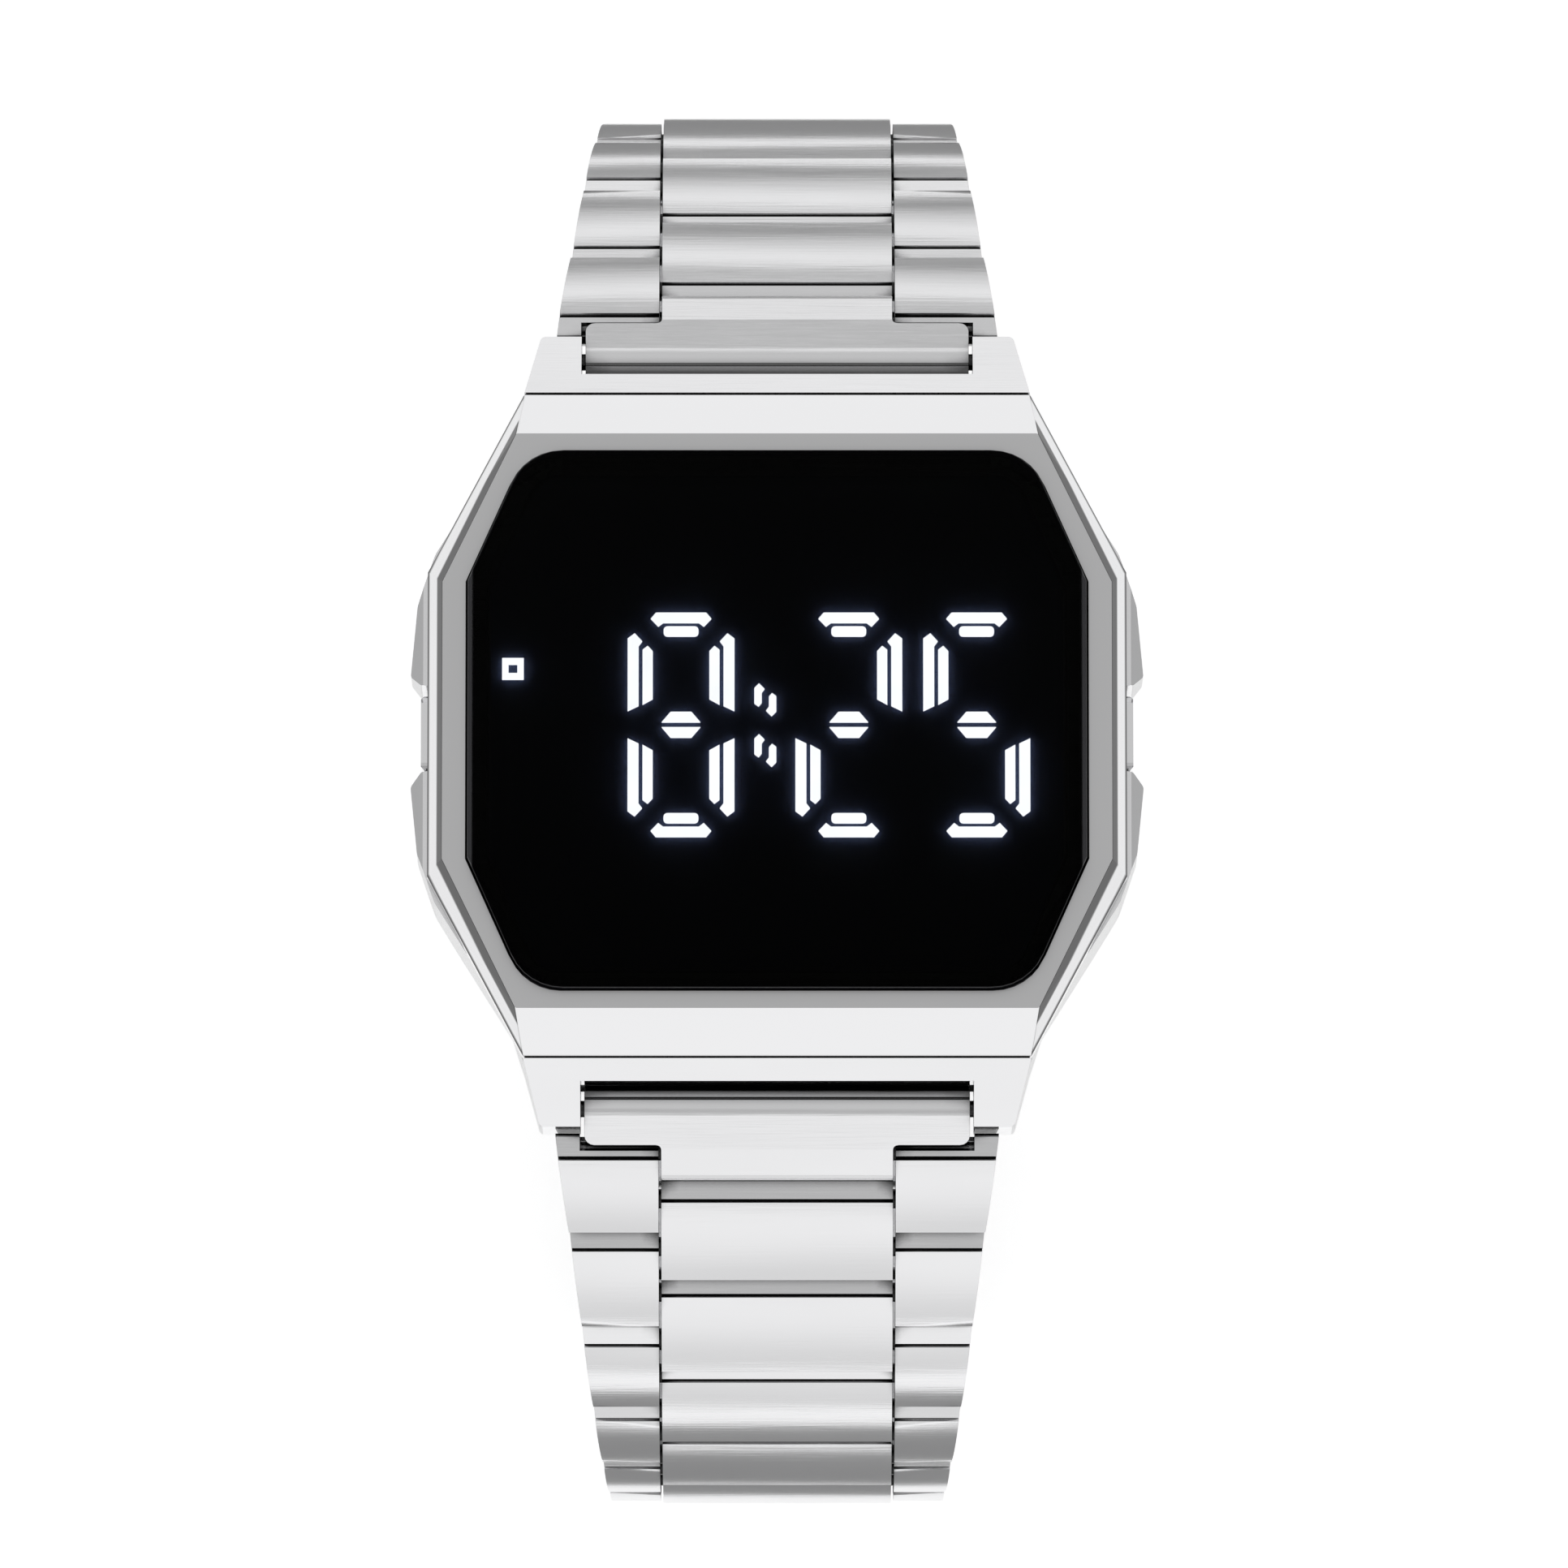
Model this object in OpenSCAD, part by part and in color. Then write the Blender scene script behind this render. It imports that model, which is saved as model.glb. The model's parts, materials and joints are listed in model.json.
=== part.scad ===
// LED wristwatch: stainless case, black glass over an LED display, staggered three-row
// link bracelet and folding clasp. Millimetres. Origin at the middle of the case back's
// outer face, +Z out of the dial, +Y towards 12 o'clock, +X towards 3 o'clock.

/* [Case] */
// Length over the lug tips
case_len = 40.9; // [38:0.1:46]
// Half width of the case over its side guards
guard_half_w = 18.7; // [18.4:0.1:20]
// Height of the bezel face above the case back
bezel_top = 8.9; // [8.6:0.1:10.5]
// Slope of the lug plates and of the bezel's upper and lower strips, in degrees
slope = 28.5; // [24:0.5:32]
// Height of the joint between the case and the bezel
case_top = 6.4; // [6:0.1:6.6]
// Length of the bezel's sloping strips above and below the face, seen from above
strip_len = 2.37; // [2:0.01:2.6]
// Width between the lugs
lug_slot = 20; // [18:0.1:21]
// Wall thickness of the case around the module
case_wall = 1.5; // [1:0.1:2]

/* [Bezel and glass] */
// Half width of the bezel's flat face
face_half_w = 17.05; // [16.8:0.05:17.3]
// Half height of the bezel's flat face
face_half_h = 14.83; // [14.3:0.01:15]
// Border of the face beside the glass, left and right
border_side = 1.27; // [1:0.01:1.5]
// Border of the face above and below the glass
border_end = 0.93; // [0.8:0.01:1.2]
// Height of the glass above the bezel face
glass_proud = 0.6; // [0.2:0.1:0.8]
// Thickness of the glass
glass_t = 1.5; // [1.2:0.1:1.8]
// Width of the ledge that carries the glass
ledge = 1.1; // [0.8:0.1:1.4]

/* [Display] */
// Height of a digit
digit_h = 11.58; // [10:0.1:12]
// Width of a digit
digit_w = 5.44; // [5:0.02:5.8]
// Middle of the digit for the hours
hour_x = -4.89; // [-5.2:0.01:-4.6]
// Middle of the digit for the tens of minutes
ten_x = 3.65; // [3.4:0.01:3.9]
// Middle of the digit for the minutes
minute_x = 10.16; // [9.9:0.01:10.4]

/* [Back] */
// Thickness of the case back
back_t = 1.2; // [0.9:0.1:1.6]
// Diameter of the coin cell
cell_d = 20; // [16:0.1:20]
// Thickness of the coin cell
cell_t = 1.6; // [1.2:0.1:1.6]

/* [Buttons] */
// Length of a button cap along the case
cap_len = 3.9; // [3.4:0.1:4.1]
// Height of a button cap
cap_h = 2.2; // [1.8:0.1:2.4]
// Travel of a button
travel = 0.5; // [0.3:0.05:0.6]
// Diameter of a button's stem
stem_d = 1.2; // [1:0.1:1.4]

/* [Bracelet] */
// Distance from one bracelet hinge to the next
pitch = 5.6; // [5.4:0.05:5.8]
// Thickness of the links
link_t = 2.6; // [2.4:0.1:2.8]
// Width of the centre links
centre_w = 11.8; // [11:0.1:12.4]
// Half width of the bracelet at its first row
wide_half = 11.3; // [11:0.05:11.6]
// Half width of the bracelet beyond the taper
narrow_half = 8.6; // [8.4:0.05:8.8]
// Gap between neighbouring links
link_gap = 0.16; // [0.12:0.01:0.22]
// Diameter of the bracelet pins
pin_d = 1.0; // [0.8:0.05:1.2]
// Radial clearance of a pin in the link that turns on it
pin_play = 0.05; // [0.03:0.01:0.08]
// Length of the lowered lip at the case end of a link
lip_len = 1.15; // [0.9:0.05:1.3]
// Depth of the lip under the link's face
lip_drop = 0.55; // [0.5:0.05:0.75]
// Fall of the lip towards its end, as a share of its length
lip_slant = 0.4; // [0.2:0.05:0.45]
// Radius of the dome on the face of a link
dome_r = 9; // [8:0.5:14]

/* [Clasp] */
// Thickness of the clasp cover
cover_t = 0.9; // [0.8:0.05:1]
// Thickness of a clasp blade
blade_t = 0.7; // [0.6:0.05:0.75]

/* [Hidden] */
$fn = 48;
eps = 0.01;
rows = 11;
// Inclination of the end link and of each row below the dial plane, closed on a wrist
end_angle = 24;
row_angle = [38, 42, 58, 73, 86, 98, 110, 122, 135, 148, 162];
lug_y = case_len / 2 - 1.1;
lug_z = 4.6;
// Spring bar of the lugs: tube and tips
bar_d = 1.5;
bar_tip_d = 0.85;
end_len = 2.2;
half_t = link_t / 2;
centre_half = centre_w / 2;
side_gap = 0.14;
// Radial gap round a pressed pin
press = 0.01;

// Outline helpers

function unit(v) = v / norm(v);
// Points of the arc that rounds corner b between its neighbours a and c with radius r
function arc_at(a, b, c, r, n) =
    let (u = unit(a - b), v = unit(c - b),
         half = acos(max(-1, min(1, u * v))) / 2,
         set = r / tan(half),
         m = b + unit(u + v) * r / sin(half),
         p = b + u * set - m,
         turn = (u[0] * v[1] - u[1] * v[0] > 0 ? -1 : 1) * (180 - 2 * half))
    [for (i = [0 : n])
        let (t = turn * i / n)
        m + [p[0] * cos(t) - p[1] * sin(t), p[0] * sin(t) + p[1] * cos(t)]];
// Outline with every corner given as [x, y, radius], rounded in n steps
function rounded(pts, n = 4) =
    [for (i = [0 : len(pts) - 1])
        let (q = pts[i], a = pts[(i + len(pts) - 1) % len(pts)], c = pts[(i + 1) % len(pts)])
        each (q[2] > 0
            ? arc_at([a[0], a[1]], [q[0], q[1]], [c[0], c[1]], q[2], n)
            : [[q[0], q[1]]])];
// Full outline from the points of its quarter with x and y above zero, from top to side
function four_way(q) =
    let (n = len(q))
    concat(q,
        [for (i = [n - 1 : -1 : 0]) [q[i][0], -q[i][1], q[i][2]]],
        [for (i = [0 : n - 1]) [-q[i][0], -q[i][1], q[i][2]]],
        [for (i = [n - 1 : -1 : 0]) [-q[i][0], q[i][1], q[i][2]]]);
// Extrudes a profile drawn in Y and Z along X, over the given stretch
module along_x(x0, x1) { translate([x0, 0, 0]) rotate([90, 0, 90]) linear_extrude(x1 - x0) children(); }
module rod(d, half, y = 0, z = 0) { translate([-half, y, z]) rotate([0, 90, 0]) cylinder(d = d, h = 2 * half); }

// Case

bezel_foot_y = face_half_h + strip_len;
foot_z = bezel_top - (bezel_foot_y - face_half_h) * tan(slope);
corner_x = 13.3;
side_y = 7.15;
inner_half_w = guard_half_w - 2.7 - case_wall;
inner_half_h = bezel_foot_y - 2.9;
ledge_z = bezel_top + glass_proud - glass_t;
gasket_t = 0.2;
notch_y = cap_len / 2 + 0.15;
notch_x = guard_half_w - 1.78;
cap_z = 4.0;
spring_well = 0.9;
well_d = 2.2;
slot_floor = 18.28;
tip_half = 12.06;
foot_half = 12.9;

case_outline = rounded(four_way([
    [tip_half, case_len / 2, 0.3], [foot_half, bezel_foot_y, 0],
    [guard_half_w - 5.2, bezel_foot_y - 1.9, 1], [guard_half_w - 1.25, 9.0, 2],
    [guard_half_w - 0.35, 6.4, 0.5], [guard_half_w, notch_y + 0.75, 0.3],
    [guard_half_w - 0.55, notch_y + 0.15, 0.2], [notch_x, notch_y, 0]]));
cavity_outline = rounded(four_way([[11.2, inner_half_h, 1.2], [inner_half_w, side_y, 1.5]]));
face_outline = four_way([[corner_x, face_half_h, 0], [face_half_w, side_y, 0]]);
glass_corner = corner_x - 0.54;
function glass_outline(in) = rounded(four_way([
    [glass_corner - in * 0.5, face_half_h - border_end - in, 2.9 - in],
    [face_half_w - border_side - in, side_y - in * 0.25, 0]]), 6);

module slope_cut() {
    for (s = [0, 1]) mirror([0, s, 0])
        along_x(-30, 30) polygon([[face_half_h, bezel_top],
            [face_half_h + 12, bezel_top - 12 * tan(slope)], [face_half_h + 12, 20], [face_half_h, 20]]);
}
module lug_slots(half_w) {
    // Slot between the lugs, its floor hollowed round the end link's knuckle
    for (s = [0, 1]) mirror([0, s, 0]) {
        translate([-half_w, slot_floor, -1]) cube([2 * half_w, 10, 20]);
        rod(2 * (half_t + 0.25), half_w, lug_y, lug_z);
    }
}
// Eight-sided slice of the case's bevelled envelope at height z
module envelope_slice(z, side, end) {
    translate([0, 0, z]) linear_extrude(eps) polygon([for (p = four_way([
        [end, case_len / 2, 0], [end + 1.2, bezel_foot_y - 1, 0], [side, side_y + 0.9, 0]])) [p[0], p[1]]]);
}
module case() {
    color("silver") difference() {
        union() {
            intersection() {
                translate([0, 0, back_t]) linear_extrude(case_top - back_t) polygon(case_outline);
                // Polished bevels round the guards, above and below
                hull() {
                    envelope_slice(back_t, guard_half_w - 1.2, tip_half);
                    envelope_slice(back_t + 1.5, guard_half_w + 0.1, foot_half + 0.6);
                    envelope_slice(case_top - 1.3, guard_half_w + 0.1, foot_half + 0.6);
                    envelope_slice(case_top - eps, guard_half_w - 0.65, foot_half);
                }
            }
            // Lug plates, up to the bezel strips and flush with them
            for (s = [0, 1]) mirror([0, s, 0])
                intersection() {
                    translate([0, 0, back_t]) linear_extrude(bezel_top) polygon(case_outline);
                    translate([-20, bezel_foot_y, 0]) cube([40, 10, 20]);
                }
        }
        slope_cut();
        lug_slots(lug_slot / 2);
        // Underside of the lugs rises to the tip
        for (s = [0, 1]) mirror([0, s, 0])
            along_x(-20, 20) polygon([[15, 0], [case_len / 2 + 1, 0], [case_len / 2 + 1, 3.4],
                [case_len / 2, 3.1], [16.6, back_t]]);
        translate([0, 0, back_t - eps]) linear_extrude(20) polygon(cavity_outline);
        // Button stems and spring wells
        rod(stem_d + 2 * 0.04, 25, 0, cap_z);
        for (s = [0, 1]) mirror([s, 0, 0])
            for (x = [inner_half_w - eps, notch_x - spring_well])
                translate([x, 0, cap_z]) rotate([0, 90, 0]) cylinder(d = well_d, h = spring_well + eps);
        for (s = [0, 1]) mirror([0, s, 0]) rod(bar_tip_d + 0.05, lug_slot / 2 + 1.2, lug_y, lug_z);
        // Screw holes of the case back
        for (x = [-1, 1], y = [-1, 1])
            translate([x * screw_x, y * screw_y, 0]) cylinder(d = 1.2, h = back_t + 2.6);
    }
}

screw_x = 10.2;
screw_y = inner_half_h + 0.75;
back_outline = rounded(four_way([[11.9, screw_y + 0.95, 1], [inner_half_w + 1.3, side_y + 0.8, 1.5]]));

module bezel() {
    // The foot stops short of the lug plates, which leaves a fine joint line
    foot_outline = four_way([[12.9, bezel_foot_y - 0.1], [13.4, bezel_foot_y - 1.7], [face_half_w + 0.75, side_y + 0.7]]);
    color("gainsboro") difference() {
        hull() {
            translate([0, 0, bezel_top - 0.02]) linear_extrude(0.02)
                polygon([for (p = face_outline) [p[0], p[1]]]);
            translate([0, 0, foot_z - 0.02]) linear_extrude(0.02)
                polygon([for (p = foot_outline) [p[0], p[1]]]);
            translate([0, 0, case_top]) linear_extrude(0.02)
                polygon([for (p = foot_outline) [p[0], p[1]]]);
        }
        translate([0, 0, ledge_z - gasket_t]) linear_extrude(9) polygon(glass_outline(0));
        translate([0, 0, case_top - 1]) linear_extrude(9) polygon(glass_outline(ledge));
    }
}
module glass() {
    color("black") difference() {
        translate([0, 0, ledge_z]) linear_extrude(glass_t) polygon(glass_outline(0.04));
        // Bevelled upper edge at the sides
        for (s = [0, 1]) mirror([s, 0, 0])
            translate([face_half_w - border_side - 0.3, -20, ledge_z + glass_t]) rotate([0, 40, 0])
                cube([2, 40, 2]);
    }
}
module glass_gasket() {
    color("dimgray") translate([0, 0, ledge_z - gasket_t]) linear_extrude(gasket_t) difference() {
        polygon(glass_outline(0.04));
        polygon(glass_outline(ledge - 0.1));
    }
}

// Display and module

led_t = 0.25;
// Middle of the digits above the dial's centre
digits_y = -0.07;
panel_t = 0.8;
panel_z = ledge_z - led_t - 0.03 - panel_t;
frame_z = back_t + cell_t + 0.5;

module display_panel() {
    color("black") translate([0, 0, panel_z]) linear_extrude(panel_t) polygon(glass_outline(ledge + 0.1));
}
// Level double stroke at the top of a digit: an outer bar with turned-in ends and an inner bar
module level_pair() {
    polygon([[-1.28, 0], [1.28, 0], [1.54, -0.31], [1.16, -0.71], [0.91, -0.52],
        [-0.91, -0.52], [-1.16, -0.71], [-1.54, -0.31]]);
    polygon(rounded([[-0.89, -0.71, 0.2], [0.89, -0.71, 0.2], [0.89, -1.22, 0.2], [-0.89, -1.22, 0.2]]));
}
// Upright double stroke at the left of a digit, upper half
module upright_pair() {
    top = digit_h / 2 - 1.07;
    translate([-digit_w / 2, 0]) {
        polygon([[0, 0.71], [0, top - 0.27], [0.36, top], [0.74, top - 0.41], [0.56, top - 0.65], [0.56, 0.98]]);
        polygon([[0.76, 1.04], [0.76, top - 0.85], [1.02, top - 0.65], [1.28, top - 0.92], [1.28, 1.33]]);
    }
}
// Lit segments of a digit by letter: a top, b and c right, d bottom, e and f left, g middle
module digit(x, lit) {
    translate([x, digits_y]) {
        if (search("a", lit)) translate([0, digit_h / 2]) level_pair();
        if (search("d", lit)) mirror([0, 1]) translate([0, digit_h / 2]) level_pair();
        if (search("f", lit)) upright_pair();
        if (search("b", lit)) mirror([1, 0]) upright_pair();
        if (search("e", lit)) mirror([0, 1]) upright_pair();
        if (search("c", lit)) mirror([1, 0]) mirror([0, 1]) upright_pair();
        if (search("g", lit)) for (s = [0, 1]) mirror([0, s])
            polygon([[-0.98, 0.13], [0.98, 0.13], [0.53, 0.66], [-0.53, 0.66]]);
    }
}
module led_segments() {
    color("azure") translate([0, 0, panel_z + panel_t]) linear_extrude(led_t) {
        digit(hour_x, "abcdefg");
        digit(ten_x, "abged");
        digit(minute_x, "afgcd");
        // Colon: two pairs of short hooked bars
        for (y = [1.29, -1.33], turn = [0, 180]) translate([-0.6, digits_y + y]) rotate(turn)
            polygon([[-0.56, 0.6], [-0.32, 0.84], [-0.04, 0.56], [-0.18, 0.37], [-0.18, -0.15],
                [-0.34, -0.34], [-0.56, -0.18]]);
        // Afternoon mark: a small lit square with a dark middle
        translate([-13.45, digits_y + 2.89]) difference() {
            square(1.1, center = true);
            square(0.45, center = true);
        }
    }
}
module module_outline() {
    polygon(rounded(four_way([[10.9, inner_half_h - 0.4, 1], [inner_half_w - 0.75, side_y - 0.1, 1]])));
}
module module_frame() {
    // Plastic frame that holds the display over the circuit board and the cell under it
    color("darkslategray") difference() {
        union() {
            translate([0, 0, frame_z]) linear_extrude(case_top - 0.05 - frame_z) module_outline();
            // Upper rim, inside both the case and the bezel's ledge, under the display panel
            translate([0, 0, frame_z]) linear_extrude(panel_z - 0.02 - frame_z) intersection() {
                polygon(glass_outline(ledge + 0.1));
                module_outline();
            }
        }
        translate([-board_half_w - 0.2, -board_half_h - 0.2, frame_z - 1])
            cube([2 * board_half_w + 0.4, 2 * board_half_h + 0.4, board_z + board_t + 0.02 - frame_z + 1]);
        for (s = [0, 1]) mirror([s, 0, 0])
            translate([inner_half_w - 2.2, -1.6, frame_z - 1]) cube([4, 3.2, 9]);
    }
}
board_z = back_t + cell_t + 0.9;
board_t = 0.8;
board_half_w = inner_half_w - 2.7;
board_half_h = inner_half_h - 3.5;
module circuit_board() {
    color("darkgreen") translate([0, 0, board_z]) difference() {
        translate([-board_half_w, -board_half_h, 0]) cube([2 * board_half_w, 2 * board_half_h, board_t]);
        for (x = [-1, 1], y = [-1, 1])
            translate([x * (board_half_w - 1.2), y * (board_half_h - 1.2), -1]) cylinder(d = 1, h = 3);
    }
}
module battery() {
    color("lightgray") translate([0, 0, back_t + 0.15]) {
        cylinder(d = cell_d, h = cell_t - 0.25);
        translate([0, 0, cell_t - 0.25]) cylinder(d = cell_d - 2.6, h = 0.25);
    }
}
module battery_clip() {
    // Spring plate between the cell and the circuit board, with a bent contact tongue
    color("goldenrod") translate([0, 0, back_t + 0.15 + cell_t + 0.02]) {
        difference() {
            translate([-6, -3, 0]) cube([12, 6, 0.2]);
            translate([-4.6, -1, -1]) cube([7.6, 2, 3]);
        }
        for (x = [-6, 4]) translate([x, -3, 0]) cube([2, 6, board_z - back_t - cell_t - 0.19]);
    }
}
module back_gasket() {
    color("dimgray") translate([0, 0, back_t]) linear_extrude(0.15) difference() {
        polygon([for (p = cavity_outline) p * 0.992]);
        polygon([for (p = cavity_outline) p * 0.93]);
    }
}
module case_back() {
    color("silver") difference() {
        linear_extrude(back_t) polygon(back_outline);
        // Holes for the screws and their heads
        for (x = [-1, 1], y = [-1, 1]) translate([x * screw_x, y * screw_y, 0]) {
            translate([0, 0, -1]) cylinder(d = 1.3, h = 4);
            translate([0, 0, -eps]) cylinder(d = 2.1, h = 0.55);
        }
    }
}
module back_screws() {
    color("gray") for (x = [-1, 1], y = [-1, 1]) translate([x * screw_x, y * screw_y, 0]) difference() {
        union() {
            translate([0, 0, 0.03]) cylinder(d = 2, h = 0.5);
            cylinder(d = 1.2, h = back_t + 2.4);
        }
        // Crossed driver slots
        for (a = [0, 90]) rotate(a) translate([-0.7, -0.13, -1]) cube([1.4, 0.26, 1.25]);
    }
}

// Buttons

stem_in = inner_half_w - 1.1;
cap_t = 0.7;
module button() {
    color("silver") {
        difference() {
            // Cap with bevelled edges
            translate([notch_x + travel + 0.06, 0, cap_z]) rotate([0, 90, 0]) linear_extrude(cap_t)
                polygon(rounded([[-cap_h / 2, -cap_len / 2, 0.4], [cap_h / 2, -cap_len / 2, 0.4],
                    [cap_h / 2, cap_len / 2, 0.4], [-cap_h / 2, cap_len / 2, 0.4]]));
            for (s = [0, 1]) mirror([0, s, 0])
                translate([notch_x + travel + 0.06 + cap_t, cap_len / 2 - 0.2, cap_z - 3]) rotate([0, 0, 45])
                    cube([2, 2, 6]);
        }
        translate([stem_in, 0, cap_z]) rotate([0, 90, 0]) difference() {
            cylinder(d = stem_d, h = notch_x + travel + 0.2 - stem_in);
            // Groove that takes the clip
            translate([0, 0, 0.35]) difference() {
                cylinder(d = 3, h = 0.3);
                cylinder(d = stem_d - 0.4, h = 0.3);
            }
        }
    }
}
module button_clip() {
    color("dimgray") translate([stem_in + 0.36, 0, cap_z]) rotate([0, 90, 0]) difference() {
        cylinder(d = 2.4, h = 0.28);
        translate([0, 0, -1]) cylinder(d = stem_d - 0.4, h = 3);
        translate([0, -(stem_d - 0.4) / 2, -1]) cube([3, stem_d - 0.4, 3]);
    }
}
module button_seal() {
    color("black") translate([inner_half_w + 0.3, 0, cap_z]) rotate([0, 90, 0]) difference() {
        cylinder(d = well_d - 0.04, h = 0.5);
        translate([0, 0, -1]) cylinder(d = stem_d + 0.04, h = 3);
    }
}
// Return spring round the stem: a helix of wire, drawn at its pressed length in its well
spring_wire = 0.2;
spring_turns = 2.5;
module button_spring() {
    steps = 12 * spring_turns;
    sides = 6;
    r = stem_d / 2 + 0.06 + spring_wire / 2;
    rise = (spring_well - 0.04 - spring_wire) / steps;
    ring = function(i) [for (j = [0 : sides - 1])
        let (a = 30 * i, q = 360 * j / sides, rr = r + spring_wire / 2 * cos(q))
        [notch_x - spring_well + 0.02 + spring_wire / 2 + rise * i + spring_wire / 2 * sin(q),
         rr * cos(a), cap_z + rr * sin(a)]];
    color("gray") polyhedron(
        points = [for (i = [0 : steps]) each ring(i)],
        faces = concat(
            [[for (j = [0 : sides - 1]) j]],
            [[for (j = [sides - 1 : -1 : 0]) steps * sides + j]],
            [for (i = [0 : steps - 1], j = [0 : sides - 1]) let (n = (j + 1) % sides)
                each [[i * sides + j, (i + 1) * sides + j, (i + 1) * sides + n],
                      [i * sides + j, (i + 1) * sides + n, i * sides + n]]]));
}

// Bracelet

function dir(a) = [cos(a), -sin(a)];
// Hinge k of a half: 0 is the lug, 1 joins the end link to row 1, rows + 1 joins the clasp
function hinge(k) = k == 0 ? [lug_y, lug_z]
    : k == 1 ? hinge(0) + end_len * dir(end_angle)
    : hinge(k - 1) + pitch * dir(row_angle[k - 2]);
function half_width(u) = narrow_half + (wide_half - narrow_half) * pow(max(0, 1 - u / 5.5), 1.5);
clasp_z = hinge(rows + 1)[1];

module at_hinge(k, a) { translate([0, hinge(k)[0], hinge(k)[1]]) rotate([-a, 0, 0]) children(); }

// Side profile of a link from s0 to s1 along the bracelet: a sloping lip, a groove, a dome
// that is steeper at the lip, and ends drawn in below so that the links can curl
module link_profile(s0, s1) {
    g = link_gap / 2;
    draw = 0.55;
    face = s0 + lip_len;
    polygon(rounded([
        [s0 + g, -half_t + 1.0, 0], [s0 + g + draw, -half_t, 0.25],
        [s1 - g - draw, -half_t, 0.25], [s1 - g, -half_t + 1.0, 0],
        [s1 - g, half_t - 0.9, 0], [face, half_t - 0.9, 0],
        [face, half_t - lip_drop - 0.1, 0], [face - 0.15, half_t - lip_drop, 0],
        [s0 + g, half_t - lip_drop - lip_slant * lip_len, 0.2]], 3));
    intersection() {
        translate([face, 0]) square([s1 - g - face, half_t + 0.1]);
        translate([face + 0.62 * (s1 - face), half_t - dome_r]) circle(r = dome_r);
    }
}
module outer_link(k, s0, s1, inner) {
    u0 = k - 1;
    w0 = half_width(u0);
    w1 = half_width(u0 + 1);
    difference() {
        intersection() {
            along_x(inner, wide_half + 1) link_profile(s0, s1);
            translate([0, 0, -5]) linear_extrude(10)
                polygon([[inner - 1, s0 - 1], [w0 + (w0 - w1) / pitch, s0 - 1],
                    [w1 - (w0 - w1) / pitch, s1 + 1], [inner - 1, s1 + 1]]);
        }
        rod(pin_d + 2 * press, 15);
        rod(pin_d + 2 * press, 15, pitch / 2);
    }
}
module row(k) {
    a = row_angle[k - 1];
    at_hinge(k, a) {
        color("silver") for (s = [0, 1]) mirror([s, 0, 0])
            if (k == 1)
                difference() {
                    outer_link(k, -ear_len, pitch * 3 / 4, centre_half + side_gap);
                    // The first row's outer links pass beside the wide part of the end link
                    translate([0, -pitch, -5]) cube([lug_slot / 2 - 0.1 + side_gap, pitch - ear_back, 10]);
                    // Their ends are cut back where they face the lug tips
                    rotate([a, 0, 0]) translate([0, lug_clear - pitch, -pitch]) cube([20, pitch, 2 * pitch]);
                }
            else
                outer_link(k, -pitch / 4, pitch * 3 / 4, centre_half + side_gap);
        color("gainsboro") along_x(-centre_half, centre_half) difference() {
            link_profile(pitch / 4, pitch * 5 / 4);
            translate([pitch / 2, 0]) circle(d = pin_d + 2 * press);
            translate([pitch, 0]) circle(d = pin_d + 2 * pin_play);
        }
        color("gray") {
            rod(pin_d, half_width(k - 1) - 0.25);
            rod(pin_d, half_width(k) - 0.05, pitch / 2);
        }
    }
}
ear_back = 0.35;
// Length of the first outer links before their hinge, flat beside the lug tips
ear_len = end_len + lug_y - case_len / 2;
lug_clear = case_len / 2 + 0.12 - hinge(1)[0];
module end_link() {
    a = end_angle;
    wide = lug_slot / 2 - 0.2;
    far = end_len + pitch / 4 - link_gap / 2;
    color("gainsboro") at_hinge(0, a) difference() {
        intersection() {
            along_x(-wide, wide) difference() {
                union() {
                    circle(r = half_t);
                    polygon(rounded([[0, -half_t, 0], [far - 0.55, -half_t, 0.25], [far, -half_t + 1, 0],
                        [far, half_t - 0.12, 0.4], [far / 2, half_t + 0.02, 0], [0, half_t, 0]], 3));
                }
                circle(d = bar_d + 0.08);
                // Fine groove where the face meets the knuckle
                rotate(40) translate([0, half_t]) square([0.16, 0.4], center = true);
                translate([end_len, 0]) circle(d = pin_d + 2 * pin_play);
            }
            // Plan of the link: wide between the lugs, then as narrow as the centre links
            translate([0, 0, -5]) linear_extrude(10) polygon(rounded([
                [-wide, -3, 0], [wide, -3, 0], [wide, end_step, 0.5], [centre_half, end_step, 0.25],
                [centre_half, 9, 0], [-centre_half, 9, 0], [-centre_half, end_step, 0.25],
                [-wide, end_step, 0.5]]));
        }
    }
}
end_step = 1.55;
module lug_bar() {
    // Spring bar: tube between the lugs and a tip in each lug
    color("gray") {
        rod(bar_d, lug_slot / 2 - 0.35, lug_y, lug_z);
        rod(bar_tip_d, lug_slot / 2 + 1.0, lug_y, lug_z);
    }
}

// Clasp, flat under the wrist, drawn with y measured from the middle of the loop

hinge_y = hinge(rows + 1)[0];
cover_end = hinge_y - 1.55;
cover_z = clasp_z - half_t - 0.15;
fold_y = -(hinge_y - 3.5);
tip_y = hinge_y - 4.5;
knuckle_r = 0.72;
knuckle_z = cover_z + cover_t + 0.04 + knuckle_r;
wall_in = narrow_half - 1.0;
blade1_z = cover_z + cover_t + 0.05;
blade2_z = blade1_z + blade_t + 0.1;
inner_tongue = 3.9;
fork_y = -cover_end + 0.1;

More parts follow.
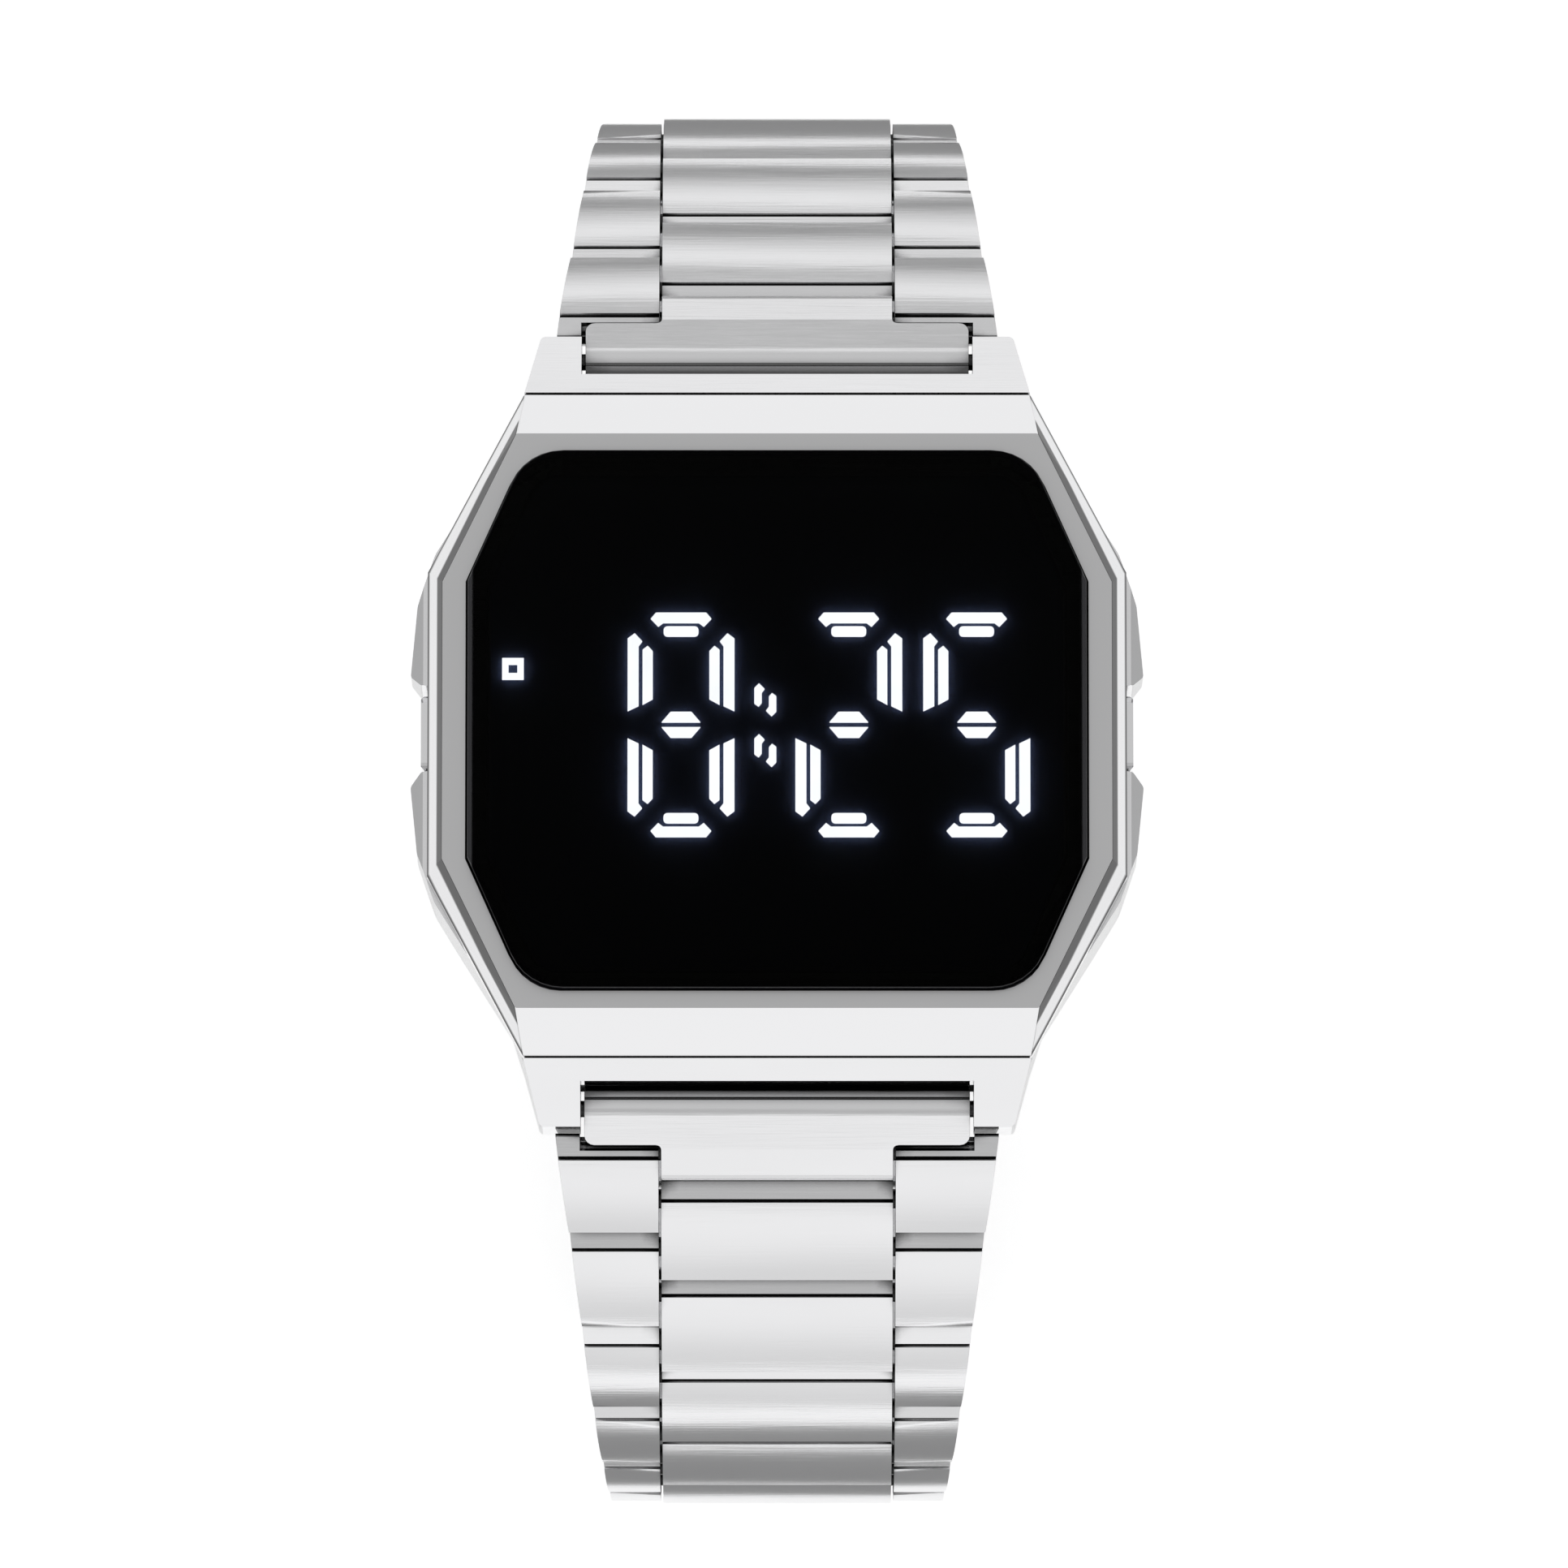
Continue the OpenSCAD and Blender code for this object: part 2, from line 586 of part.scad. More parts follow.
module clasp_cover() {
    color("gainsboro") difference() {
        union() {
            // Cover plate with rolled long edges, and side walls that shield the blades
            rotate([90, 0, 0]) translate([0, 0, -cover_end])
                linear_extrude(2 * cover_end) polygon(rounded([
                    [-narrow_half, cover_z + 0.25, 0.2], [-narrow_half + 0.6, cover_z, 0.4],
                    [narrow_half - 0.6, cover_z, 0.4], [narrow_half, cover_z + 0.25, 0.2],
                    [narrow_half, clasp_z + half_t - 0.2, 0.2], [wall_in, clasp_z + half_t - 0.2, 0.2],
                    [wall_in, cover_z + cover_t, 0], [-wall_in, cover_z + cover_t, 0],
                    [-wall_in, clasp_z + half_t - 0.2, 0.2], [-narrow_half, clasp_z + half_t - 0.2, 0.2]]));
            // Ears beside the last centre link of the upper half
            for (s = [0, 1]) mirror([s, 0, 0]) along_x(centre_half + side_gap, narrow_half)
                polygon(rounded([[cover_end - 1.2, cover_z, 0], [hinge_y + 0.9, cover_z, 0.8],
                    [hinge_y + 1.3, clasp_z + 0.3, 0.4], [hinge_y + 1.0, clasp_z + half_t - 0.2, 0.5],
                    [cover_end - 1.2, clasp_z + half_t - 0.2, 0]], 3));
        }
        rod(pin_d + 2 * press, 15, hinge_y, clasp_z);
        rod(pin_d + 2 * press, 15, fold_y, knuckle_z);
    }
}
module clasp_pin() {
    // Pins of the cover: one in the last upper link, two stubs that carry the outer blade
    color("gray") {
        rod(pin_d, narrow_half - 0.1, hinge_y, clasp_z);
        for (s = [0, 1]) mirror([s, 0, 0]) translate([inner_tongue + 0.3, fold_y, knuckle_z])
            rotate([0, 90, 0]) cylinder(d = pin_d, h = narrow_half - 0.4 - inner_tongue);
    }
}
module blade_plate(half_w, y0, y1, z) {
    translate([0, 0, z]) linear_extrude(blade_t) difference() {
        polygon(rounded([[-half_w, y0, 0.3], [half_w, y0, 0.3], [half_w, y1, 0.3], [-half_w, y1, 0.3]]));
        // Slot that lightens the blade
        polygon(rounded([[-half_w + 2.2, y0 + 5, 0.8], [half_w - 2.2, y0 + 5, 0.8],
            [half_w - 2.2, y1 - 4, 0.8], [-half_w + 2.2, y1 - 4, 0.8]]));
    }
}
module clasp_blade_outer() {
    w = wall_in - 0.2;
    color("silver") difference() {
        union() {
            difference() {
                blade_plate(w, fold_y, tip_y + 0.3, blade1_z);
                // Clearance for the inner blade's knuckles
                translate([-w, tip_y - knuckle_r - 0.15, blade1_z - 1]) cube([w - 3.1, 4, 5]);
                translate([3.1, tip_y - knuckle_r - 0.15, blade1_z - 1]) cube([w - 3.1, 4, 5]);
            }
            for (s = [0, 1]) mirror([s, 0, 0]) along_x(inner_tongue + 0.3, w) translate([fold_y, knuckle_z])
                circle(r = knuckle_r);
            along_x(-3, 3) translate([tip_y, knuckle_z]) circle(r = knuckle_r);
        }
        translate([-inner_tongue - 0.3, fold_y - 2, blade1_z - 1])
            cube([2 * inner_tongue + 0.6, 2.9, 5]);
        rod(pin_d + 2 * pin_play, 15, fold_y, knuckle_z);
        rod(pin_d - 0.2, 15, tip_y, knuckle_z);
    }
}
module clasp_blade_pin() { color("gray") rod(pin_d - 0.2, wall_in - 0.5, tip_y, knuckle_z); }
module clasp_blade_inner() {
    w = wall_in - 0.5;
    color("gainsboro") difference() {
        union() {
            blade_plate(inner_tongue, -cover_end, tip_y - 1.2, blade2_z);
            for (s = [0, 1]) mirror([s, 0, 0]) {
                // Knuckles at the fold and the plate that joins them to the tongue
                along_x(3.15, w) translate([tip_y, knuckle_z]) circle(r = knuckle_r);
                translate([0, tip_y - 2.2, blade2_z]) cube([w, 1.0, blade_t]);
                translate([3.15, tip_y - 1.3, blade2_z]) cube([w - 3.15, 1.3, blade_t]);
                // Fork that straddles the last centre link of the lower half
                translate([0, -cover_end, blade2_z]) cube([wall_in - 0.3, 0.75, blade_t]);
                along_x(centre_half + side_gap, wall_in - 0.3) difference() {
                    polygon(rounded([[-hinge_y - 0.9, clasp_z - 0.7, 0.5], [-hinge_y + 0.9, clasp_z - 0.7, 0.3],
                        [-cover_end + 0.5, blade2_z, 0], [-cover_end + 0.5, blade2_z + blade_t, 0],
                        [-hinge_y - 0.9, blade2_z + blade_t, 0.5]], 3));
                    translate([-hinge_y, clasp_z]) circle(d = 0.8);
                }
            }
        }
        rod(pin_d - 0.2 + 2 * pin_play, 15, tip_y, knuckle_z);
    }
}
module clasp_spring_bar() {
    // Spring bar with its tips drawn in, inside the last centre link of the lower half
    color("gray") rod(pin_d, centre_half - 0.05, -hinge_y, clasp_z);
}

case();
bezel();
glass();
glass_gasket();
display_panel();
led_segments();
module_frame();
circuit_board();
battery();
battery_clip();
back_gasket();
case_back();
back_screws();
button();  // button_right
mirror([1, 0, 0]) button();  // button_left
button_clip();  // button_clip_right
mirror([1, 0, 0]) button_clip();  // button_clip_left
for (s = [0, 1]) mirror([s, 0, 0]) button_seal();  // button_seals
for (s = [0, 1]) mirror([s, 0, 0]) button_spring();  // button_springs
end_link();  // end_link_upper
mirror([0, 1, 0]) end_link();  // end_link_lower
lug_bar();  // lug_bar_upper
mirror([0, 1, 0]) lug_bar();  // lug_bar_lower
for (k = [1 : rows]) {
    row(k);
    mirror([0, 1, 0]) row(k);
}
clasp_cover();
clasp_pin();
clasp_blade_outer();
clasp_blade_pin();
clasp_blade_inner();
clasp_spring_bar();
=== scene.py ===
# Looks of the LED watch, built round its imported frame. Metres, in the frame's own axes.
import json
import math

import bpy
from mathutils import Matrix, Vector


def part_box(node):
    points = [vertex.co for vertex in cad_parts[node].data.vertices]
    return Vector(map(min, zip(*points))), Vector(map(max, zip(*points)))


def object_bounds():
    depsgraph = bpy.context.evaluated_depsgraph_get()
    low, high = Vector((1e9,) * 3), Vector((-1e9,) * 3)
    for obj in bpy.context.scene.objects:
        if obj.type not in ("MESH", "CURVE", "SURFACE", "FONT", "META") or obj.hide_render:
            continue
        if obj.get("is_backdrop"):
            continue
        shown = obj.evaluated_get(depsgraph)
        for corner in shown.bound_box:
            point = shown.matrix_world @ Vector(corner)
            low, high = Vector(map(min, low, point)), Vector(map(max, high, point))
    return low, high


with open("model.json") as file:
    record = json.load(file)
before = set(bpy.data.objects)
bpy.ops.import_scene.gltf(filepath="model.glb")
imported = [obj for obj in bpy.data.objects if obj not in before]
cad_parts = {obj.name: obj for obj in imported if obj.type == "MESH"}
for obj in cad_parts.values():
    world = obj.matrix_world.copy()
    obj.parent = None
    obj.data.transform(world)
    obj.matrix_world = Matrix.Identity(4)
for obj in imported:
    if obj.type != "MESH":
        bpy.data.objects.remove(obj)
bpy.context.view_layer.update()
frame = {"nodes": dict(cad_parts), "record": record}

MM = 0.001

# Camera: the photo's width, the place and scale of the glass in it, and the view's angle over the dial
IMAGE_PX = 1932
GLASS_PX = (957.5, 884.5)
PX_PER_MM = 24.25
ELEVATION_DEG = 80.0
DISTANCE = 1.0
SENSOR_MM = 36.0
CLIP_NEAR = 0.05
CLIP_FAR = 20

# Rounded edges, in millimetres, of the nodes whose edges catch light
EDGE = {"case": 0.12, "bezel": 0.07, "glass": 0.05, "case_back": 0.12}
LINK_EDGE = 0.07
SMALL_EDGE = 0.03
# Least angle, in degrees, at which two faces meet in an edge to round
EDGE_ANGLE_DEG = 38
# Corners of the mesh that are this close, in millimetres, are one
WELD_GAP = 0.0005

# Colours that several materials share, and ranges of roughness
STEEL = (0.84, 0.84, 0.85)
BLACK = (0.02, 0.02, 0.02)
POLISHED_ROUGH = (0.049, 0.098)
CASE_ROUGH = (0.1, 0.18)
LINK_ROUGH = (0.16, 0.26)
FITTING_ROUGH = (0.25, 0.35)
# Grain of the noise that roughens or clouds a surface, in changes a metre along X, Y and Z
BRUSHED_GRAIN = (250, 9000, 9000)
TURNED_GRAIN = (9000, 700, 700)
WIPED_GRAIN = (700, 700, 700)
BEZEL_GRAIN = (200, 9000, 9000)
MOULDED_GRAIN = (3000, 3000, 3000)
CLOUD_GRAIN = (90, 260, 260)
LED_GRAIN = (500, 500, 500)
# Strength of the relief that the grain gives
STEEL_RELIEF = 0.25
BEZEL_RELIEF = 0.15
MOULDED_RELIEF = 0.2

# Tone by how far a surface leans towards 3 or 9 o'clock, from 0 to 1, painted shade: the case's polished
# slopes and darker walls, and the darker ends of the links
CASE_SIDE_SHADE = ((0.0, 1.0), (0.2, 1.0), (0.3, 0.55), (0.85, 0.42), (0.93, 0.22), (1.0, 0.22))
LINK_SIDE_SHADE = ((0.0, 1.0), (0.8, 1.0), (0.93, 0.55), (1.0, 0.55))
# Painted shade, by ambient occlusion, round the case, between the links and in the slot of the end links
CASE_GAP_SHADE = {"shut": 0.12, "open_from": 0.4, "dark": 0.25}
LINK_GAP_SHADE = {"reach": 1.1, "shut": 0.4, "open_from": 0.78}
END_LINK_GAP_SHADE = {"reach": 1.6, "shut": 0.4, "open_from": 0.92, "dark": 0.12}

# Bezel: its polished flanks and satin face, the Z of the normal where one turns into the other, and painted
# reflection streaks on the flanks: their tone by height in the bezel, and the lean sideways that shows them
FLANK_COLOR = (0.86, 0.86, 0.87)
FLANK_ROUGH = 0.12
FACE_COLOR = (0.62, 0.62, 0.625)
FACE_ROUGH = 0.42
FLANK_UP_TO = 0.96
FACE_FROM = 0.985
REFLECTION_STREAKS_LEAN = 0.25
FLANK_REFLECTION_STREAKS = (
    (0.0, 0.6), (0.3, 0.8), (0.38, 0.8), (0.42, 0.12), (0.52, 0.12), (0.57, 0.85), (0.8, 0.85),
    (0.84, 0.15), (1.0, 0.15))

# Glass: share of light that one face lets through, its sheen and how fast that grows with the
# slant, and the blackened edge, which is where the normal's Z is under a bound
SMOKE = 0.22
SHEEN_COLOR = (0.3, 0.3, 0.32)
SHEEN_ROUGH = 0.02
SHEEN_BLEND = 0.25
SHEEN = 0.8
GLASS_EDGE_COLOR = (0.01, 0.01, 0.012)
GLASS_EDGE_ROUGH = 0.15
GLASS_EDGE_BELOW = 0.6
# Lit segments: colour, and the range of their level as seen through both faces of the glass
LED_COLOR = (0.93, 0.96, 1.0)
LED_LEVEL = (1.0, 1.15)

# Floor: size, place under the watch, colour, and glow to the eye and in reflections
FLOOR_SIZE = (2.0, 2.0)
FLOOR_GAP = 0.3 * MM
FLOOR_WHITE = 0.9
FLOOR_GLOW = 0.46
# Grey cards over the floor: name, and the edges along Y, towards 12 o'clock where positive
CARDS = (("card_upper_near", 0.05, 0.11), ("card_upper_far", 0.17, 2.0), ("card_lower", -0.14, -0.05))
CARD_WIDTH = 0.1
CARD_GAP = 0.2 * MM
CARD_GREY = 0.4
# Levels of the light tent by degrees from overhead, negative towards 6 o'clock
TENT = (
    (-180, 1.0), (-110, 1.0), (-95, 0.68), (-60, 0.96), (-48, 1.0), (-33, 1.0), (-29, 0.5),
    (-14, 0.5), (-6, 0.65), (20, 0.65), (32, 0.6), (40, 0.6), (45, 0.98), (51, 0.98), (54, 0.42),
    (61, 0.42), (66, 0.98), (74, 0.98), (86, 0.66), (92, 0.62), (180, 0.62))


# Node helpers. The owner of a node tree is a material or the world.


def empty_tree(owner, output_kind):
    """Empties the owner's node tree and returns its new output node."""
    owner.use_nodes = True
    owner.node_tree.nodes.clear()
    return owner.node_tree.nodes.new(output_kind)


def new_material(name):
    """An empty node material and its output node."""
    mat = bpy.data.materials.new(name)
    return mat, empty_tree(mat, "ShaderNodeOutputMaterial")


def link(owner, source, target):
    """Joins one node's output to another's input."""
    owner.node_tree.links.new(source, target)


def node(owner, kind, inputs=None, **properties):
    """A node with properties set, and inputs set to plain values or linked to other nodes' outputs."""
    made = owner.node_tree.nodes.new(kind)
    for key, value in properties.items():
        setattr(made, key, value)
    for key, value in (inputs or {}).items():
        if isinstance(value, bpy.types.NodeSocket):
            link(owner, value, made.inputs[key])
        else:
            made.inputs[key].default_value = value
    return made


def solid(color):
    """A colour with full alpha."""
    return (*color, 1)


def coordinates(owner, kind):
    """Texture coordinates: Object, Generated or Normal."""
    return node(owner, "ShaderNodeTexCoord").outputs[kind]


def axis(owner, vector, name):
    """The X, Y or Z of a vector."""
    return node(owner, "ShaderNodeSeparateXYZ", {"Vector": vector}).outputs[name]


def compute(owner, operation, *terms):
    """The result of a Math node; a term is an output or a plain number."""
    return node(owner, "ShaderNodeMath", dict(enumerate(terms)), operation=operation).outputs["Value"]


def ramp(owner, source, target=(0.0, 1.0), start=0.0, end=1.0):
    """Maps a value from the range start to end to the two ends of the target range."""
    values = {"Value": source, "From Min": start, "From Max": end, "To Min": target[0], "To Max": target[1]}
    return node(owner, "ShaderNodeMapRange", values).outputs["Result"]


def levels(owner, source, stops):
    """Maps a 0 to 1 value to greys through (position, level) stops."""
    made = node(owner, "ShaderNodeValToRGB", {"Fac": source})
    first, last = made.color_ramp.elements
    for stop, (position, level) in zip((first, last), (stops[0], stops[-1])):
        stop.position = position
        stop.color = solid((level,) * 3)
    for position, level in stops[1:-1]:
        made.color_ramp.elements.new(position).color = solid((level,) * 3)
    return made.outputs["Color"]


def mix_colors(mat, factor, one, other, blend_type="MIX"):
    """From one colour at factor 0 to the other at 1, or to what the blend type makes of the two."""
    values = {"Factor": factor, "A": one, "B": other}
    return node(mat, "ShaderNodeMix", values, data_type="RGBA", blend_type=blend_type).outputs["Result"]


def mix_shaders(mat, factor, one, other):
    """From one shader at factor 0 to the other at 1."""
    return node(mat, "ShaderNodeMixShader", {0: factor, 1: one, 2: other}).outputs["Shader"]


def noise(mat, grain, detail=2.0):
    """Noise in object coordinates; grain is per metre along X, Y and Z."""
    stretched = node(mat, "ShaderNodeMapping", {"Vector": coordinates(mat, "Object"), "Scale": grain})
    values = {"Vector": stretched.outputs["Vector"], "Scale": 1.0, "Detail": detail}
    return node(mat, "ShaderNodeTexNoise", values).outputs["Fac"]


# Surface helpers


def principled(mat, out, color, metallic, roughness):
    """The material's main shader, joined to its output."""
    values = {"Base Color": solid(color), "Metallic": metallic, "Roughness": roughness}
    shader = node(mat, "ShaderNodeBsdfPrincipled", values)
    link(mat, shader.outputs["BSDF"], out.inputs["Surface"])
    return shader


def relief(mat, shader, height, strength, depth):
    """Raises the surface by a height of 0 to 1; depth is in millimetres."""
    bump = node(mat, "ShaderNodeBump", {"Height": height, "Strength": strength, "Distance": depth * MM})
    link(mat, bump.outputs["Normal"], shader.inputs["Normal"])


def sideways(mat):
    """How far the surface leans towards 3 or 9 o'clock, from 0 to 1."""
    return compute(mat, "ABSOLUTE", axis(mat, coordinates(mat, "Normal"), "X"))


def painted_gap_shade(mat, tone, reach=0.9, shut=0.25, open_from=0.55, dark=0.03):
    """The tone with painted shade: darkened in narrow spaces and joints, by how little open sky they see.

    reach is in millimetres; shut and open_from are the shares of open sky that count as dark and clear.
    """
    shade = node(mat, "ShaderNodeAmbientOcclusion", {"Distance": reach * MM}, samples=8)
    open_part = ramp(mat, shade.outputs["AO"], start=shut, end=open_from)
    return mix_colors(mat, open_part, solid((dark,) * 3), tone)


# Materials


def brushed(name, color, rough, grain=BRUSHED_GRAIN, depth=0.02, contrast=0.03, side_shade=None, gap_shade=None):
    """Steel with a cloudy tone and a fine grain, which varies its roughness and relief.

    depth is in millimetres and contrast is the clouds' share of the colour. The last two give painted
    shade: stops of tone by the lean sideways, and values for darkening narrow spaces and joints.
    """
    mat, out = new_material(name)
    shader = principled(mat, out, color, 1.0, rough[0])
    streaks = noise(mat, grain, detail=4.0)
    link(mat, ramp(mat, streaks, rough), shader.inputs["Roughness"])
    darker = solid([channel * (1 - contrast) for channel in color])
    lighter = solid([min(1, channel * (1 + contrast)) for channel in color])
    tone = mix_colors(mat, noise(mat, CLOUD_GRAIN, detail=3.0), darker, lighter)
    # Painted shade: darker where the surface leans towards 3 or 9 o'clock
    if side_shade:
        tone = mix_colors(mat, 1.0, tone, levels(mat, sideways(mat), side_shade), "MULTIPLY")
    # Painted shade: darker in narrow spaces and joints, by ambient occlusion
    link(mat, painted_gap_shade(mat, tone, **(gap_shade or {})), shader.inputs["Base Color"])
    relief(mat, shader, streaks, STEEL_RELIEF, depth)
    return mat


def polished(name, color):
    """Polished steel with faint wiping marks."""
    return brushed(name, color, POLISHED_ROUGH, WIPED_GRAIN, depth=0.004, contrast=0.015)


def plastic(name, color, roughness):
    """Moulded plastic or rubber with a fine even grain."""
    mat, out = new_material(name)
    shader = principled(mat, out, color, 0.0, roughness)
    grain = noise(mat, MOULDED_GRAIN, detail=3.0)
    link(mat, ramp(mat, grain, (roughness * 0.85, roughness * 1.15)), shader.inputs["Roughness"])
    relief(mat, shader, grain, MOULDED_RELIEF, depth=0.02)
    return mat


def glass_material():
    """Smoked glass with a blackened edge: hides the dark parts and lets the segments' light through."""
    mat, out = new_material("smoked_glass")
    clear = node(mat, "ShaderNodeBsdfTransparent", {"Color": solid((SMOKE,) * 3)})
    gloss = node(mat, "ShaderNodeBsdfGlossy", {"Color": solid(SHEEN_COLOR), "Roughness": SHEEN_ROUGH})
    slant = node(mat, "ShaderNodeLayerWeight", {"Blend": SHEEN_BLEND})
    sheen = compute(mat, "MULTIPLY", slant.outputs["Facing"], SHEEN)
    face = mix_shaders(mat, sheen, clear.outputs["BSDF"], gloss.outputs["BSDF"])
    paint = {"Base Color": solid(GLASS_EDGE_COLOR), "Roughness": GLASS_EDGE_ROUGH}
    edge = node(mat, "ShaderNodeBsdfPrincipled", paint)
    level = compute(mat, "ABSOLUTE", axis(mat, coordinates(mat, "Normal"), "Z"))
    on_face = compute(mat, "GREATER_THAN", level, GLASS_EDGE_BELOW)
    link(mat, mix_shaders(mat, on_face, edge.outputs["BSDF"], face), out.inputs["Surface"])
    return mat


def led_material():
    """Lit segments: white light with a breath of blue, as strong as the smoked glass asks."""
    mat, out = new_material("led_light")
    strengths = [level / SMOKE ** 2 for level in LED_LEVEL]
    strength = ramp(mat, noise(mat, LED_GRAIN), strengths)
    light = node(mat, "ShaderNodeEmission", {"Color": solid(LED_COLOR), "Strength": strength})
    link(mat, light.outputs["Emission"], out.inputs["Surface"])
    return mat


def bezel_material():
    """Satin face and polished flanks, told apart by how far the surface leans from the dial."""
    mat, out = new_material("bezel_steel")
    shader = principled(mat, out, FACE_COLOR, 1.0, FACE_ROUGH)
    on_face = ramp(mat, axis(mat, coordinates(mat, "Normal"), "Z"), start=FLANK_UP_TO, end=FACE_FROM)
    link(mat, ramp(mat, on_face, (FLANK_ROUGH, FACE_ROUGH)), shader.inputs["Roughness"])
    tone = mix_colors(mat, on_face, solid(FLANK_COLOR), solid(FACE_COLOR))
    # Painted reflection streaks: dark bands by height on the flanks that lean sideways
    height = axis(mat, coordinates(mat, "Generated"), "Z")
    has_reflection_streaks = compute(mat, "GREATER_THAN", sideways(mat), REFLECTION_STREAKS_LEAN)
    reflection_streaks = mix_colors(mat, has_reflection_streaks, (1, 1, 1, 1), levels(mat, height, FLANK_REFLECTION_STREAKS))
    with_reflection_streaks = mix_colors(mat, 1.0, tone, reflection_streaks, "MULTIPLY")
    # Painted shade where the bezel meets the case
    link(mat, painted_gap_shade(mat, with_reflection_streaks), shader.inputs["Base Color"])
    relief(mat, shader, noise(mat, BEZEL_GRAIN, detail=4.0), BEZEL_RELIEF, depth=0.01)
    return mat


# Materials of the carried-over nodes, by the record's material slot
LOOKS = {
    "case_steel": brushed("case_steel", STEEL, CASE_ROUGH, depth=0.01, side_shade=CASE_SIDE_SHADE, gap_shade=CASE_GAP_SHADE),
    "bezel_steel": bezel_material(),
    "glass": glass_material(),
    "black_plastic": plastic("black_panel", (0.03, 0.045, 0.1), 0.9),
    "frame_plastic": plastic("frame_plastic", BLACK, 0.6),
    "led_light": led_material(),
    "gasket_rubber": plastic("gasket_rubber", BLACK, 0.8),
    "board_green": plastic("board_green", (0.01, 0.1, 0.04), 0.35),
    "cell_steel": brushed("cell_steel", (0.7, 0.7, 0.7), FITTING_ROUGH),
    "contact_brass": brushed("contact_brass", (0.8, 0.62, 0.3), FITTING_ROUGH),
    "button_steel": polished("button_steel", STEEL),
    "spring_steel": brushed("spring_steel", (0.6, 0.6, 0.6), FITTING_ROUGH),
    "pin_steel": brushed("pin_steel", (0.55, 0.55, 0.56), FITTING_ROUGH, TURNED_GRAIN),
    "link_steel": brushed("link_steel", STEEL, LINK_ROUGH, side_shade=LINK_SIDE_SHADE, gap_shade=LINK_GAP_SHADE),
    "clasp_steel": brushed("clasp_steel", STEEL, LINK_ROUGH, side_shade=LINK_SIDE_SHADE),
}
# End links: the same steel with a deeper painted shade in their slot
END_LINK_LOOK = brushed("end_link_steel", STEEL, LINK_ROUGH, side_shade=LINK_SIDE_SHADE, gap_shade=END_LINK_GAP_SHADE)
# Rounded edges of the case and the links, painted shade: darker than the faces between them, as dark
# reflections would make them
EDGE_SHADE_LOOK = polished("painted_shade_edge", (0.3, 0.3, 0.31))
SLOT_OF = {row["node"]: row["material_slot"] for row in frame["record"]["subparts"]}


def soften(obj, width, edge_shade_look=None):
    """Rounds the node's sharp edges, with a material of their own if given: the darker edge material, which
    is painted shade.
    """
    weld = obj.modifiers.new("weld", "WELD")
    weld.merge_threshold = WELD_GAP * MM
    bevel = obj.modifiers.new("edge", "BEVEL")
    bevel.width = width * MM
    bevel.segments = 2
    bevel.limit_method = "ANGLE"
    bevel.angle_limit = math.radians(EDGE_ANGLE_DEG)
    # Painted shade: the rounded edges get the darker edge material
    if edge_shade_look:
        obj.data.materials.append(edge_shade_look)
        bevel.material = 1
    flats = obj.modifiers.new("flats", "WEIGHTED_NORMAL")
    flats.mode = "FACE_AREA"
    flats.weight = 100
    flats.keep_sharp = True


def dress_nodes():
    """Gives each node of the frame its material and its rounded edges."""
    for name, obj in frame["nodes"].items():
        obj.data.materials.clear()
        obj.data.materials.append(END_LINK_LOOK if name.startswith("end_link") else LOOKS[SLOT_OF[name]])
        if name in EDGE:
            soften(obj, EDGE[name], EDGE_SHADE_LOOK if name == "case" else None)
        elif name.startswith(("row_", "end_link")):
            soften(obj, LINK_EDGE, EDGE_SHADE_LOOK)
        elif name.startswith(("clasp_cover", "clasp_blade", "button_right", "button_left")):
            soften(obj, SMALL_EDGE)


# Floor, light and camera


def add_board(name, size, middle, mat):
    """A level board with its size along X and Y."""
    bpy.ops.mesh.primitive_plane_add(size=1.0, location=middle)
    board = bpy.context.object
    board.name = name
    board.scale = (*size, 1)
    board.data.materials.append(mat)
    return board


